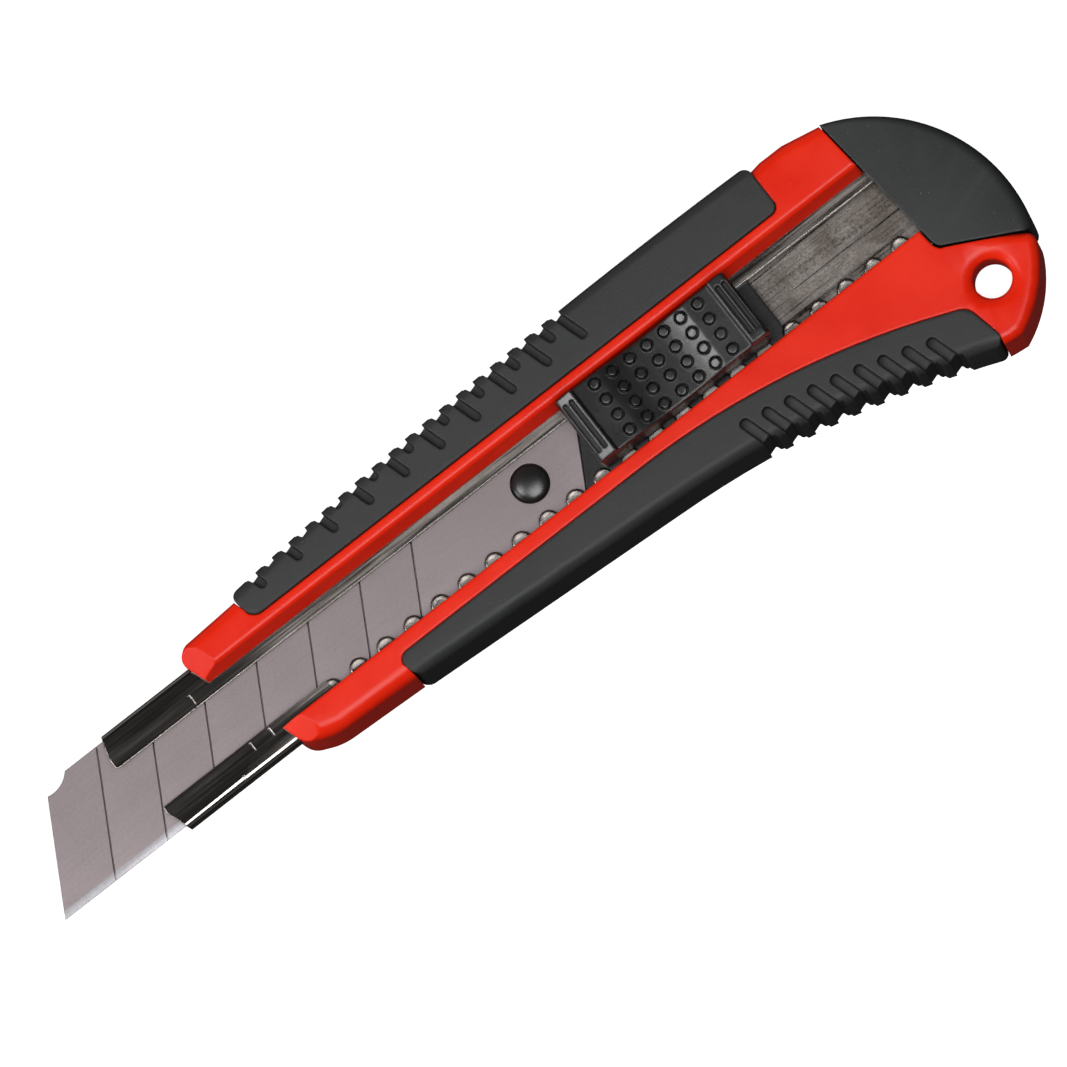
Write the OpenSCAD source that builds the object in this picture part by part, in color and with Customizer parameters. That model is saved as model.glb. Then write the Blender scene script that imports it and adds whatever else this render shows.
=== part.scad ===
// Snap-off blade utility knife, 18 mm blade class, lying on its back face.
// +X runs along the knife from blade tip to end cap, +Y is the spine side, and the cutting edge is
// on the -Y side. +Z points out of the thumb side. The origin is the middle of the outline, on the
// plane the knife rests on.

/* [Handle] */
// Thickness of the soft grips, rest plane to front face
handle_t = 15; // [14:0.5:16]
// How far the grips stand proud of the hard handle, on each face
grip_proud = 0.3; // [0.2:0.1:0.5]
// Height of the spine line at its highest point
spine_top = 22.7; // [22:0.1:23.5]
// Radius of the long curve of the spine
spine_r = 870; // [800:10:950]
// Radius of the curve that drops the belly towards the rear
belly_r = 150; // [140:5:170]
// Radius of the seam between the hard handle and the lower grip
seam_r = 125; // [115:5:135]
// Width of the thumb slot at the front face
slot_w = 13.6; // [13:0.1:14]
// Height of the middle of the slot, the channel and the blade above the X axis
track_y = 5; // [4.8:0.1:5.2]

/* [Hanging hole] */
// Radius of the hanging hole
hole_r = 3; // [2.5:0.1:3.4]
// Width of the soft dish around the front mouth of the hole
dish_w = 1.4; // [0.8:0.1:1.6]
// How much wider than the bore the hole opens at the back
hole_flare = 1.6; // [1:0.1:2]

/* [Grip ribs] */
// Number of grooves along the upper grip
upper_grooves = 19; // [15:1:19]
// Distance from groove to groove on the upper grip
upper_pitch = 3.33; // [3.2:0.01:3.4]
// Number of grooves along the lower grip
lower_grooves = 9; // [6:1:9]
// Distance from groove to groove on the lower grip
lower_pitch = 3.68; // [3.5:0.02:3.7]
// Width of a groove
groove_w = 1.4; // [1:0.1:1.6]
// Lean of the grooves away from square
groove_lean = 17; // [10:1:20]

/* [Blade channel] */
// Thickness of the channel's steel strip
sheet_t = 0.6; // [0.5:0.1:0.7]
// Radius of a detent lobe on the lower lip
lobe_r = 1.6; // [1.4:0.05:1.7]
// Distance from lobe to lobe, one click of the slider
lobe_pitch = 5.14; // [5:0.02:5.3]
// Number of detent lobes
lobe_count = 22; // [20:1:22]

/* [Blade] */
// Width of the blade
blade_w = 18; // [17.6:0.1:18]
// Length of the blade along its cutting edge
blade_l = 99.5; // [98:0.5:100]
// Thickness of the blade
blade_t = 0.5; // [0.4:0.05:0.5]
// Slant of the blade's ends and score lines
blade_slant = 61; // [58:1:65]
// Distance between score lines along the edge
score_pitch = 9.8; // [9.5:0.1:10]
// Width of the ground band along the cutting edge
bevel_w = 1.3; // [1:0.1:1.6]

/* [Slider] */
// Length of the thumb slider
knob_l = 32; // [30:0.5:32]
// Width of the thumb slider
knob_w = 11.6; // [11:0.1:12]
// Height of the slider's two end blocks above the rest plane
knob_top = 20; // [19:0.5:21]
// Diameter of a grip dot
dot_d = 1.9; // [1.6:0.1:2]
// Thickness of the detent spring's steel strip
spring_t = 0.4; // [0.3:0.05:0.5]

/* [End cap] */
// Radius of the cap's round rear edge
cap_r = 26; // [25.8:0.1:26.4]
// Gap between the cap and the handle
cap_gap = 0.25; // [0.2:0.05:0.3]

/* [Hidden] */
fine = 64;                                // facets of the preview on small rounds
long_fine = 400;                          // and on the cap's long round edge

body_z0 = grip_proud;                     // hard handle: back face
body_z1 = handle_t - grip_proud;          // hard handle: front face
grip_skin = 2.5;                          // thickness of the soft layer over the hard core
half_slot = slot_w / 2;
tip_x = -90;                              // blade tip at rest
spine_x = 39;                             // where the spine is highest
end_x = 90;                               // rearmost point of the cap

// heights of the sandwich inside the channel
channel_z0 = 7.6;
channel_h = 3.7;
channel_z1 = channel_z0 + channel_h;
floor_z = channel_z0 + sheet_t;           // the floor the carrier slides on
blade_z = 9.95;                           // underside of the blade
lip_z = channel_z1 - sheet_t;             // underside of the lips
track_w = blade_w + 0.2;                  // inside width of the channel
channel_w = track_w + 2 * sheet_t;
channel_front = -70.1;
channel_rear = 77;
lower_lip_y = 0.25;                       // inner edge of the lower lip
upper_lip_y = 9.1;                        // inner edge of the upper lip
first_lobe_x = -37.04;                    // the first lobe rounds off the plain part of the lip
lobe_y = lower_lip_y - lobe_r;

knob_x0 = 15.4;
neck_x0 = 20;                             // the carrier's neck inside the slider
neck_x1 = 43;
spring_x1 = 42.6;                         // tab that anchors the spring
nose_x = first_lobe_x + 12.5 * lobe_pitch; // nose between the thirteenth and fourteenth lobes
hole_c = [78.6, -14.2];                   // centre of the hanging hole
fit = 0.15;                               // clearance round a sliding fit
over = 1;                                 // how far a cutter runs past a face

// long curves of the outline, as heights over x
function spine_y(x) = spine_top - pow(x - spine_x, 2) / (2 * spine_r);
function belly_y(x) = -8.5 - 0.061 * (x + 26) - pow(max(x - 22, 0), 2) / (2 * belly_r);
function seam_y(x) = -4.3 - pow(max(x - 20, 0), 2) / (2 * seam_r);
function run(x0, x1, n) = [for (i = [0:n]) x0 + (x1 - x0) * i / n];

// point i of a line, moved sideways by s so that both neighbouring stretches keep their distance
function unit(v) = v / norm(v);
function beside(line, i, s) =
    let (last = len(line) - 1,
         a = unit(line[max(i, 1)] - line[max(i, 1) - 1]),
         b = unit(line[min(i + 1, last)] - line[min(i + 1, last) - 1]),
         m = unit(a + b))
    line[i] + s / (m * a) * [-m[1], m[0]];

// Bar of a plan outline between two heights.
module slab(z0, z1) {
    translate([0, 0, z0]) linear_extrude(z1 - z0) children();
}

// Bar along X whose section is drawn in Y and Z.
module bar_x(x0, x1) {
    translate([x0, 0, 0]) rotate([90, 0, 90]) linear_extrude(x1 - x0) children();
}

// Plan of a strip of thickness t that follows a line.
module strip_plan(line, t) {
    last = len(line) - 1;
    polygon(concat([for (i = [0:last]) beside(line, i, t / 2)],
                   [for (i = [last:-1:0]) beside(line, i, -t / 2)]));
}

// Rectangle in plan with round corners.
module round_rect(p0, p1, r) {
    w = p1[0] - p0[0];
    h = p1[1] - p0[1];
    translate(p0) {
        translate([r, 0]) square([w - 2 * r, h]);
        translate([0, r]) square([w, h - 2 * r]);
        for (x = [r, w - r], y = [r, h - r]) translate([x, y]) circle(r, $fn = fine);
    }
}

// Seam between the hard handle and the upper grip, front to rear.
upper_seam = [[-41, 18.3], [-40.2, 15.5], [-38.6, 13.9], [58.8, 13.9], [60, 15.2], [60, 21.5]];

// Seam between the hard handle and the lower grip, front to rear.
lower_seam = concat([[-25.9, belly_y(-25.9)], [-26.6, -5.8], [-25.2, -4.5], [-23, seam_y(-23)]],
                    [for (x = run(20, 71.5, 12)) [x, seam_y(x)]],
                    [[73.4, -16.9], [74.2, -21.4], [73.9, belly_y(73.9)]]);

// Plan of the hard handle between the two grips, with its two prongs and the rear ear.
module hard_plan() {
    intersection() {
        polygon(concat(
            [[-45.6, -1.8], [-51, 10.4], [-52.7, 15.7], [-50.7, 17.3]], upper_seam,
            [[61.8, 21.7], [66, 21.6], [72.2, 20.4], [74.6, -4.5], [75.6, -6], [90, -13.4],
             [90, -23.5]],
            [for (i = [len(lower_seam) - 1:-1:0]) lower_seam[i]],
            [[-27.2, -8.2], [-41.5, -7.6], [-44.4, -6.2], [-46.2, -2.8]]));
        union() {
            translate([-60, -30]) square([128, 60]);
            translate([69, -4.8]) circle(20.5, $fn = long_fine);
            translate([60, -3]) square([20, 30]);
        }
    }
}

// Plan of the upper grip: the seam below, the spine's long curve above.
module upper_plan() {
    polygon(concat([for (i = [len(upper_seam) - 2:-1:1]) upper_seam[i]],
                   [for (x = run(-40.8, 60, 14)) [x, spine_y(x)]]));
}

// Plan of the lower grip: the seam above, the belly's curve below.
module lower_plan() {
    polygon(concat(lower_seam, [for (x = run(70, 22, 10)) [x, belly_y(x)]]));
}

// Plan of the hard core inside the upper grip.
module upper_core() {
    x0 = -38 + grip_skin;
    x1 = 60 - grip_skin;
    polygon(concat([[x1, 13], [x0, 13]], [for (x = run(x0, x1, 12)) [x, spine_y(x) - grip_skin]]));
    intersection() {
        upper_plan();
        translate([-50, 13]) square([120, 2.3]);
    }
}

// Plan of the hard core inside the lower grip.
module lower_core() {
    x0 = -26 + grip_skin;
    x1 = 73.5 - grip_skin;
    polygon(concat([for (x = run(x0, x1, 14)) [x, seam_y(x) + 0.5]],
                   [for (x = run(x1, 22, 8)) [x, belly_y(x) + grip_skin]],
                   [[x0, belly_y(x0) + grip_skin]]));
    intersection() {
        lower_plan();
        translate([-30, -5.5]) square([70, 2]);
    }
}

// One groove across a grip's outer edge: shallow on both faces, and a notch through the edge.
// at is the point on the edge, depth how far the groove reaches in over the faces.
module groove(at, depth, notch) {
    face_cut = 1.2;
    translate([at[0], at[1], 0]) rotate([0, 0, groove_lean]) {
        for (z = [handle_t - face_cut, -over]) translate([-groove_w / 2, -depth, z])
            cube([groove_w, depth + 2, face_cut + over]);
        for (z = [handle_t - face_cut, -over]) translate([0, -depth, z])
            cylinder(r = groove_w / 2, h = face_cut + over, $fn = fine);
        translate([-groove_w / 2, -notch, -over]) cube([groove_w, notch + 2, handle_t + 2 * over]);
    }
}

// Red hard handle: one moulding with the channel's groove, the thumb slot and the hanging ear.
module handle_body() {
    lip_gap = 0.05;                       // press-in gap around the channel
    wall_in = 0.95;                       // lean of the slot's spine-side wall
    prong_bevel = 1.8;
    dish_d = 0.6;
    flare_h = 7.9;                        // how far the hole tapers in from the back
    color([0.89, 0.15, 0.07]) difference() {
        union() {
            slab(body_z0, body_z1) hard_plan();
            slab(grip_skin, handle_t - grip_skin) {
                upper_core();
                lower_core();
            }
        }
        // groove that holds the channel, and the thumb slot above it
        bar_x(-60, 80) translate([track_y, 0])
            polygon([[-channel_w / 2 - lip_gap, channel_z0 - lip_gap],
                     [channel_w / 2 + lip_gap, channel_z0 - lip_gap],
                     [channel_w / 2 + lip_gap, channel_z1 + lip_gap],
                     [half_slot - wall_in, channel_z1 + lip_gap],
                     [half_slot, handle_t + over],
                     [-half_slot, handle_t + over],
                     [-half_slot + 0.3, channel_z1 + lip_gap],
                     [-channel_w / 2 - lip_gap, channel_z1 + lip_gap]]);
        // bevels on the front ends of the two prongs
        translate([-53.2, 16, body_z1 - prong_bevel]) rotate([0, -42, -18])
            translate([-6, -12, 0]) cube([6, 20, 6]);
        translate([-46.6, -4, body_z1 - prong_bevel]) rotate([0, -42, 10])
            translate([-6, -8, 0]) cube([6, 12, 6]);
        // socket for the end cap's tongue
        translate([65.8, -1.2, 2.2]) cube([20, 12.4, 4]);
        // hanging hole: a soft dish in front, and a short bore that opens out towards the back
        translate([hole_c[0], hole_c[1], 0]) {
            translate([0, 0, -over]) cylinder(r = hole_r, h = handle_t + 2 * over, $fn = fine);
            translate([0, 0, body_z1 - dish_d])
                cylinder(r1 = hole_r, r2 = hole_r + dish_w, h = dish_d, $fn = fine);
            translate([0, 0, body_z0])
                cylinder(r1 = hole_r + hole_flare, r2 = hole_r, h = flare_h, $fn = fine);
        }
    }
}

// Soft upper grip, moulded round the handle's spine, with long and short grooves in turn.
module upper_grip() {
    long_end = 16.6;
    short_end = 19;
    first_x = -36.4;
    color([0.24, 0.25, 0.25]) difference() {
        slab(0, handle_t) upper_plan();
        slab(grip_skin, handle_t - grip_skin) upper_core();
        for (i = [0:upper_grooves - 1]) {
            x = first_x + i * upper_pitch;
            end_y = i % 2 == 0 ? long_end : short_end;
            groove([x, spine_y(x)], (spine_y(x) - end_y) / cos(groove_lean), 1.2);
        }
    }
}

// Soft lower grip, moulded round the handle's belly, with slanted finger grooves at the rear.
module lower_grip() {
    first_x = 37.2;
    color([0.24, 0.25, 0.25]) difference() {
        slab(0, handle_t) lower_plan();
        slab(grip_skin, handle_t - grip_skin) lower_core();
        for (i = [0:lower_grooves - 1]) {
            x = first_x + i * lower_pitch;
            rotate([0, 0, 180]) groove([-x, -belly_y(x)], 5, 1.2);
        }
    }
}

// Steel channel: a folded strip whose lips hold the blade, with detent lobes on the lower lip.
module blade_channel() {
    bend_r = 1;
    color([0.62, 0.61, 0.62]) {
        intersection() {
            difference() {
                bar_x(channel_front, channel_rear) translate([track_y, 0]) difference() {
                    round_rect([-channel_w / 2, channel_z0], [channel_w / 2, channel_z1], bend_r);
                    round_rect([-track_w / 2, floor_z], [track_w / 2, lip_z], bend_r - sheet_t);
                    translate([lower_lip_y - track_y, lip_z - over / 2])
                        square([upper_lip_y - lower_lip_y, 2 * over]);
                }
                translate([first_lobe_x, lobe_y, lip_z - 0.2]) cube([120, lobe_r + over, over]);
            }
            slab(channel_z0 - over, channel_z1 + over)
                polygon([[-68.7, 15], [channel_front, 11], [channel_front, 10], [-68.6, 9.1],
                         [-67.7, 0.3], [-68, -0.6], [-66.3, -5], [channel_rear, -5],
                         [channel_rear, 15]]);
        }
        for (i = [0:lobe_count - 1]) translate([first_lobe_x + i * lobe_pitch, lobe_y, lip_z])
            cylinder(r = lobe_r, h = sheet_t, $fn = fine);
    }
}

// Plan of the blade, from its pointed tip to the slanted tail.
module blade_plan() {
    lean = blade_w / tan(blade_slant);
    y0 = track_y - blade_w / 2;
    y1 = track_y + blade_w / 2;
    difference() {
        polygon([[tip_x, y0], [tip_x + blade_l, y0], [tip_x + blade_l + lean, y1],
                 [tip_x + lean, y1]]);
        translate([-79.8, y1 + 2.7]) circle(4.3, $fn = fine);
    }
}

// Snap-off blade, ground along its edge and scored into segments.
module snap_off_blade() {
    land = 0.06;                          // thickness left at the cutting edge
    score_d = 0.12;
    first_score = 9.6;
    y0 = track_y - blade_w / 2;
    color([0.60, 0.57, 0.58]) difference() {
        intersection() {
            slab(blade_z, blade_z + blade_t) blade_plan();
            bar_x(tip_x - over, tip_x + blade_l + blade_w)
                polygon([[y0, blade_z + (blade_t - land) / 2], [y0 + bevel_w, blade_z],
                         [y0 + blade_w, blade_z], [y0 + blade_w, blade_z + blade_t],
                         [y0 + bevel_w, blade_z + blade_t],
                         [y0, blade_z + (blade_t + land) / 2]]);
        }
        for (i = [0:6])
            translate([tip_x + first_score + i * score_pitch, y0, blade_z + blade_t - score_d])
                rotate([0, 0, blade_slant]) translate([-over, -0.12, 0]) cube([30, 0.24, over]);
        translate([5.2, track_y, blade_z - over]) cylinder(r = 3.05, h = 3, $fn = fine);
    }
}

// Black carrier under the blade: its boss fills the blade's hole, its T-shaped neck holds the slider.
module blade_carrier() {
    plate_z1 = blade_z - 0.05;
    pad_z1 = lip_z - 0.1;
    plate_x0 = -3;
    plate_x1 = 49.6;
    neck_h = 2.1;                         // height of the neck under its head
    relief_l = 16;                        // length of the relief for the spring
    side = track_w / 2 - fit;
    tail_x = tip_x + blade_l + 0.25;      // the shoulder follows the blade's slanted tail
    lean = blade_w / tan(blade_slant);
    y0 = track_y - blade_w / 2;
    color([0.14, 0.14, 0.14]) {
        difference() {
            union() {
                slab(floor_z + 0.1, plate_z1)
                    polygon([[plate_x0, track_y - side], [plate_x1, track_y - side],
                             [plate_x1, track_y + side], [plate_x0 + lean, track_y + side]]);
                slab(plate_z1, pad_z1)
                    polygon([[tail_x, y0 + fit], [plate_x1, y0 + fit],
                             [plate_x1, y0 + blade_w - fit], [tail_x + lean, y0 + blade_w - fit]]);
                translate([neck_x0, 2.8, pad_z1]) cube([neck_x1 - neck_x0, 4.8, neck_h]);
                translate([neck_x0, 2.1, pad_z1 + neck_h]) cube([neck_x1 - neck_x0, 6.2, 1.1]);
            }
            // relief beside the neck that the spring's free end flexes into
            slab(pad_z1, pad_z1 + neck_h)
                polygon([[neck_x0 - over, 2], [neck_x0 - over, 3.7],
                         [neck_x0 + relief_l, 2.9], [neck_x0 + relief_l, 2]]);
            // slot that grips the spring's tab
            translate([spring_x1 - 0.35, 0, pad_z1]) cube([0.7, 4.4, 4]);
        }
        // domed boss through the blade's hole
        translate([5.2, track_y, plate_z1]) {
            cylinder(r = 2.85, h = blade_t + 0.1, $fn = fine);
            translate([0, 0, blade_t + 0.1]) intersection() {
                translate([0, 0, -4.9]) sphere(r = 5.67, $fn = fine);
                cylinder(r = 2.85, h = 2, $fn = fine);
            }
        }
    }
}

// Black thumb slider: a dished back with dots between two raised, ribbed end blocks.
module thumb_slider() {
    base_z = 12;                          // underside, just above the channel's lips
    block = 3.1;                          // length of an end block
    y0 = track_y - knob_w / 2;
    dot_h = 0.3;
    knob_x1 = knob_x0 + knob_l;
    play = 1;                             // free travel along the neck
    // top line of the slider from front to rear: block, ledge, dished middle, ledge, block
    top_line = [[knob_x0, knob_top - 1.2], [knob_x0 + 0.4, knob_top - 0.6],
                [knob_x0 + block, knob_top], [knob_x0 + block + 0.3, 18.9], [23.3, 18.6],
                [27.3, 17.7], [31.4, 17.5], [35.5, 17.7], [39.5, 18.6],
                [knob_x1 - block - 0.3, 18.8], [knob_x1 - block, knob_top],
                [knob_x1 - 0.5, knob_top], [knob_x1, knob_top - 0.8]];
    color([0.17, 0.17, 0.18]) {
        difference() {
            translate([0, y0 + knob_w, 0]) rotate([90, 0, 0]) linear_extrude(knob_w)
                polygon(concat([[knob_x0 + 0.6, base_z]], top_line, [[knob_x1 - 0.6, base_z]]));
            // T-shaped cavity for the carrier's neck
            translate([neck_x0 - play, 2.8 - fit, base_z - over])
                cube([neck_x1 - neck_x0 + 2 * play, 4.8 + 2 * fit, 3]);
            translate([neck_x0 - play, 2.1 - fit, 12.5])
                cube([neck_x1 - neck_x0 + 2 * play, 6.2 + 2 * fit, 1.5]);
            // bay for the detent spring
            translate([18, y0 - over, base_z - over])
                cube([27, 2.8 - fit - y0 + over + 0.1, 1.5]);
            // slots in the two end blocks
            for (x = [knob_x0 + 0.6, knob_x0 + 1.75, knob_x1 - 1.35, knob_x1 - 2.5])
                slab(knob_top - 0.9, knob_top + over)
                    round_rect([x, y0 + 1.4], [x + 0.75, y0 + knob_w - 1.4], 0.3);
        }
        for (i = [0:6], j = [0:3]) {
            x = 21.9 + 3.26 * i;
            translate([x, y0 + 1.45 + 2.9 * j, lookup(x, top_line) - 1])
                cylinder(d = dot_d, h = 1 + dot_h, $fn = 24);
        }
    }
}

// Steel leaf spring beside the neck: a round nose drops between two lobes of the lower lip.
module detent_spring() {
    leaf_y = 1.7;                         // spine side of the leaf
    nose_r = 0.9;                         // outside radius of the nose
    nose_y = -0.65 + nose_r;              // the nose stops just short of the lobes' roots
    flank = 40;                           // slope of the nose's two flanks
    z0 = lip_z + 0.1;
    h = 1.5;
    reach = (leaf_y - spring_t / 2 - nose_y) / tan(flank);
    // centre line: front end, nose flank, round nose, rear flank, tail
    mid_r = nose_r - spring_t / 2;
    line = concat([[20.4, leaf_y + 0.2], [nose_x - reach - 1.4, leaf_y]],
                  [for (a = run(270 - 60, 270 + 60, 8)) [nose_x, nose_y] + mid_r * [cos(a), sin(a)]],
                  [[nose_x + reach + 1.4, leaf_y], [spring_x1, leaf_y], [spring_x1, 4]]);
    color([0.70, 0.70, 0.72]) slab(z0, z0 + h) strip_plan(line, spring_t);
}

// Black end cap: closes the channel, plugs into the handle, and has a slit for snapping blades.
module end_cap() {
    cap_z0 = 0.2;
    cap_z1 = handle_t - 0.2;
    color([0.23, 0.25, 0.26]) {
        difference() {
            slab(cap_z0, cap_z1) intersection() {
                polygon([[72.2 + cap_gap, 21.4], [74.6 + cap_gap, -4.4], [75.8, -5.8],
                         [89.2, -12.7], [95, -12], [95, 22]]);
                translate([end_x - cap_r, -4]) circle(cap_r, $fn = long_fine);
            }
            // pocket over the rear end of the channel
            translate([70, track_y - channel_w / 2 - fit, channel_z0 - fit])
                cube([channel_rear - 70 + 0.6, channel_w + 2 * fit, channel_h + 2 * fit]);
            // blade-snapping slit, open at the rear edge
            translate([84.5, -4, 4.6]) cube([10, 16, 1]);
        }
        translate([66, -1, 2.4]) cube([12, 12, 3.6]);
    }
}

handle_body();
upper_grip();
lower_grip();
blade_channel();
snap_off_blade();
blade_carrier();
thumb_slider();
detent_spring();
end_cap();
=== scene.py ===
"""Snap-off blade utility knife: finished pieces, finishes, light and camera.

The knife is modelled piece by piece in millimetres and brought to metres when a piece is finished.
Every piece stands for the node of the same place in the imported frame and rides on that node's body.
"""

import logging
import math
from collections.abc import Callable, Iterable, Sequence
from dataclasses import dataclass, field
from enum import Enum

import bmesh
import bpy
from mathutils import Matrix, Vector
from mathutils.geometry import intersect_point_line


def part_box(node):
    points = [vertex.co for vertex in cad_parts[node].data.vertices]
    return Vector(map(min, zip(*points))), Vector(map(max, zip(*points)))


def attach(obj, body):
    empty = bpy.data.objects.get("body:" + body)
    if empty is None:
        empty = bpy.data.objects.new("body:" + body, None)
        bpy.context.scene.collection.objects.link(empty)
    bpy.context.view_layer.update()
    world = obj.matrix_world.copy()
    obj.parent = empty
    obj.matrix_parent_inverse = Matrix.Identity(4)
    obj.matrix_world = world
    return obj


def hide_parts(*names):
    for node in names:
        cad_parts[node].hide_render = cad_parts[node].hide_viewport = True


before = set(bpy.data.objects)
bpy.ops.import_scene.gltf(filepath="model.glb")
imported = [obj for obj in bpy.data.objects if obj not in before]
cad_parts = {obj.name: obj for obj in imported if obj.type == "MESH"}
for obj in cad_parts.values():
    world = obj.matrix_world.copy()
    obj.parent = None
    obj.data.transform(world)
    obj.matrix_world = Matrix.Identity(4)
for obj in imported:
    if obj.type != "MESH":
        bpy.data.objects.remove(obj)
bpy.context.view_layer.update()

log = logging.getLogger("utility_knife")

MM = 0.001
CLOSE = 0.01  # millimetres within which two places are the same
WELD = 0.0005  # millimetres within which a finished piece's vertices are merged
SAW_REACH = 1e-5  # millimetres within which a vertex counts as on the plane of a cut
Point = tuple[float, float]
Corner = tuple[float, float, float]


class Plane(Enum):
    """The plane that an outline is drawn in, and the axis that it is pulled along."""

    PLAN = "drawn in X and Y, pulled up along Z"
    SIDE = "drawn in X and Z, pulled along Y"
    SECTION = "drawn in Y and Z, pulled along X"

    def place(self, u: float, v: float, w: float) -> Vector:
        """Return the place of outline point (u, v) at depth w."""
        if self is Plane.PLAN:
            return Vector((u, v, w))
        if self is Plane.SIDE:
            return Vector((u, w, v))
        return Vector((w, u, v))


# ---------------------------------------------------------------- bench work


def clear_bench() -> None:
    """Leave edit mode and deselect everything."""
    if bpy.context.object and bpy.context.object.mode != "OBJECT":
        bpy.ops.object.mode_set(mode="OBJECT")
    bpy.ops.object.select_all(action="DESELECT")


def take_up(piece: bpy.types.Object, editing: bool = False) -> None:
    """Make a piece the only selected one.

    Args:
        piece: The piece to work on.
        editing: Whether to open it in edit mode.
    """
    clear_bench()
    piece.select_set(True)
    bpy.context.view_layer.objects.active = piece
    if editing:
        bpy.ops.object.mode_set(mode="EDIT")


def pick(
    piece: bpy.types.Object,
    vertex: Callable[[Vector], bool] | None = None,
    edge: Callable[[Vector, Vector], bool] | None = None,
    face: Callable[[Vector, Vector], bool] | None = None,
) -> int:
    """Open a piece in edit mode and select what passes a test of its place.

    Args:
        piece: The piece to select in.
        vertex: Test of a vertex's place.
        edge: Test of an edge's two ends.
        face: Test of a face's middle and its normal.

    Returns:
        How many vertices, edges or faces were selected.
    """
    take_up(piece, editing=True)
    kind = "VERT" if vertex else "EDGE" if edge else "FACE"
    bpy.ops.mesh.select_mode(type=kind)
    bpy.ops.mesh.select_all(action="DESELECT")
    mesh = bmesh.from_edit_mesh(piece.data)
    if vertex:
        chosen = [v for v in mesh.verts if vertex(v.co)]
    elif edge:
        chosen = [e for e in mesh.edges if edge(e.verts[0].co, e.verts[1].co)]
    else:
        chosen = [f for f in mesh.faces if face(f.calc_center_median(), f.normal)]
    for item in chosen:
        item.select_set(True)
    mesh.select_flush_mode()
    bmesh.update_edit_mesh(piece.data)
    return len(chosen)


def draw_line(name: str, places: Sequence[Vector]) -> bpy.types.Object:
    """Draw a line from place to place and return it as a new piece, in edit mode."""
    clear_bench()
    bpy.ops.mesh.primitive_plane_add(size=1, location=(0, 0, 0))
    piece = bpy.context.object
    piece.name = name
    bpy.ops.object.mode_set(mode="EDIT")
    bpy.ops.mesh.select_mode(type="VERT")
    bpy.ops.mesh.select_all(action="SELECT")
    bpy.ops.mesh.merge(type="CENTER")
    bpy.ops.transform.translate(value=places[0])
    for here, there in zip(places, places[1:]):
        bpy.ops.mesh.extrude_region_move(TRANSFORM_OT_translate={"value": there - here})
    return piece


def turn_outwards() -> None:
    """Point every face of the piece in edit mode outwards, and leave edit mode."""
    bpy.ops.mesh.select_all(action="SELECT")
    bpy.ops.mesh.normals_make_consistent(inside=False)
    bpy.ops.object.mode_set(mode="OBJECT")


def trace(
    name: str, outline: Sequence[Point], low: float, high: float, plane: Plane = Plane.PLAN
) -> bpy.types.Object:
    """Trace an outline point by point and pull it out into a solid.

    Args:
        name: The name of the new piece.
        outline: The outline's points in order, not closed.
        low: Depth of the first face.
        high: Depth of the second face.
        plane: The plane that the outline is drawn in.

    Returns:
        The new piece, out of edit mode.
    """
    places = [plane.place(u, v, low) for u, v in outline]
    piece = draw_line(name, places)
    first, last = places[0], places[-1]
    pick(piece, vertex=lambda p: (p - first).length < CLOSE or (p - last).length < CLOSE)
    bpy.ops.mesh.edge_face_add()
    bpy.ops.mesh.select_all(action="SELECT")
    bpy.ops.mesh.edge_face_add()
    pull = plane.place(0, 0, high - low)
    bpy.ops.mesh.extrude_region_move(TRANSFORM_OT_translate={"value": pull})
    turn_outwards()
    return piece


def block(name: str, low: Corner, high: Corner) -> bpy.types.Object:
    """Return a box between two corners, to be cut with or worked further."""
    clear_bench()
    middle = [(a + b) / 2 for a, b in zip(low, high)]
    size = [b - a for a, b in zip(low, high)]
    bpy.ops.mesh.primitive_cube_add(size=1, location=middle, scale=size)
    piece = bpy.context.object
    piece.name = name
    bpy.ops.object.transform_apply(location=True, rotation=True, scale=True)
    return piece


def turned(
    name: str, centre: Point, profile: Sequence[Point], steps: int = 48
) -> bpy.types.Object:
    """Spin a profile of (radius, height) points round a vertical axis into a solid.

    Args:
        name: The name of the new piece.
        centre: The axis, as X and Y.
        profile: Radius and height from the lower end to the upper end, off the axis.
        steps: Number of steps round the circle.

    Returns:
        The new piece, closed at both ends.
    """
    piece = draw_line(name, [Vector((centre[0] + r, centre[1], z)) for r, z in profile])
    bpy.ops.mesh.select_all(action="SELECT")
    bpy.ops.mesh.spin(
        steps=steps, angle=2 * math.pi, center=(centre[0], centre[1], 0), axis=(0, 0, 1)
    )
    bpy.ops.mesh.select_all(action="SELECT")
    bpy.ops.mesh.remove_doubles(threshold=CLOSE / 5)
    for height in (profile[0][1], profile[-1][1]):
        at_end = lambda a, b, h=height: abs(a.z - h) < CLOSE and abs(b.z - h) < CLOSE
        pick(piece, edge=at_end)
        bpy.ops.mesh.edge_face_add()
    turn_outwards()
    return piece


def join(pieces: Sequence[bpy.types.Object], name: str | None = None) -> bpy.types.Object:
    """Join several pieces into the first one and return it."""
    take_up(pieces[0])
    for other in pieces[1:]:
        other.select_set(True)
    if len(pieces) > 1:
        bpy.ops.object.join()
    if name:
        pieces[0].name = name
    return pieces[0]


def combine(piece: bpy.types.Object, tool: bpy.types.Object, how: str = "DIFFERENCE") -> None:
    """Cut, add or intersect a piece with a tool, and throw the tool away.

    Args:
        piece: The piece that is changed.
        tool: A closed shape, which is removed afterwards.
        how: DIFFERENCE, UNION or INTERSECT.
    """
    take_up(piece)
    step = piece.modifiers.new("shape", "BOOLEAN")
    step.operation = how
    step.solver = "EXACT"
    step.object = tool
    bpy.ops.object.modifier_apply(modifier=step.name)
    bpy.data.objects.remove(tool)


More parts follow.
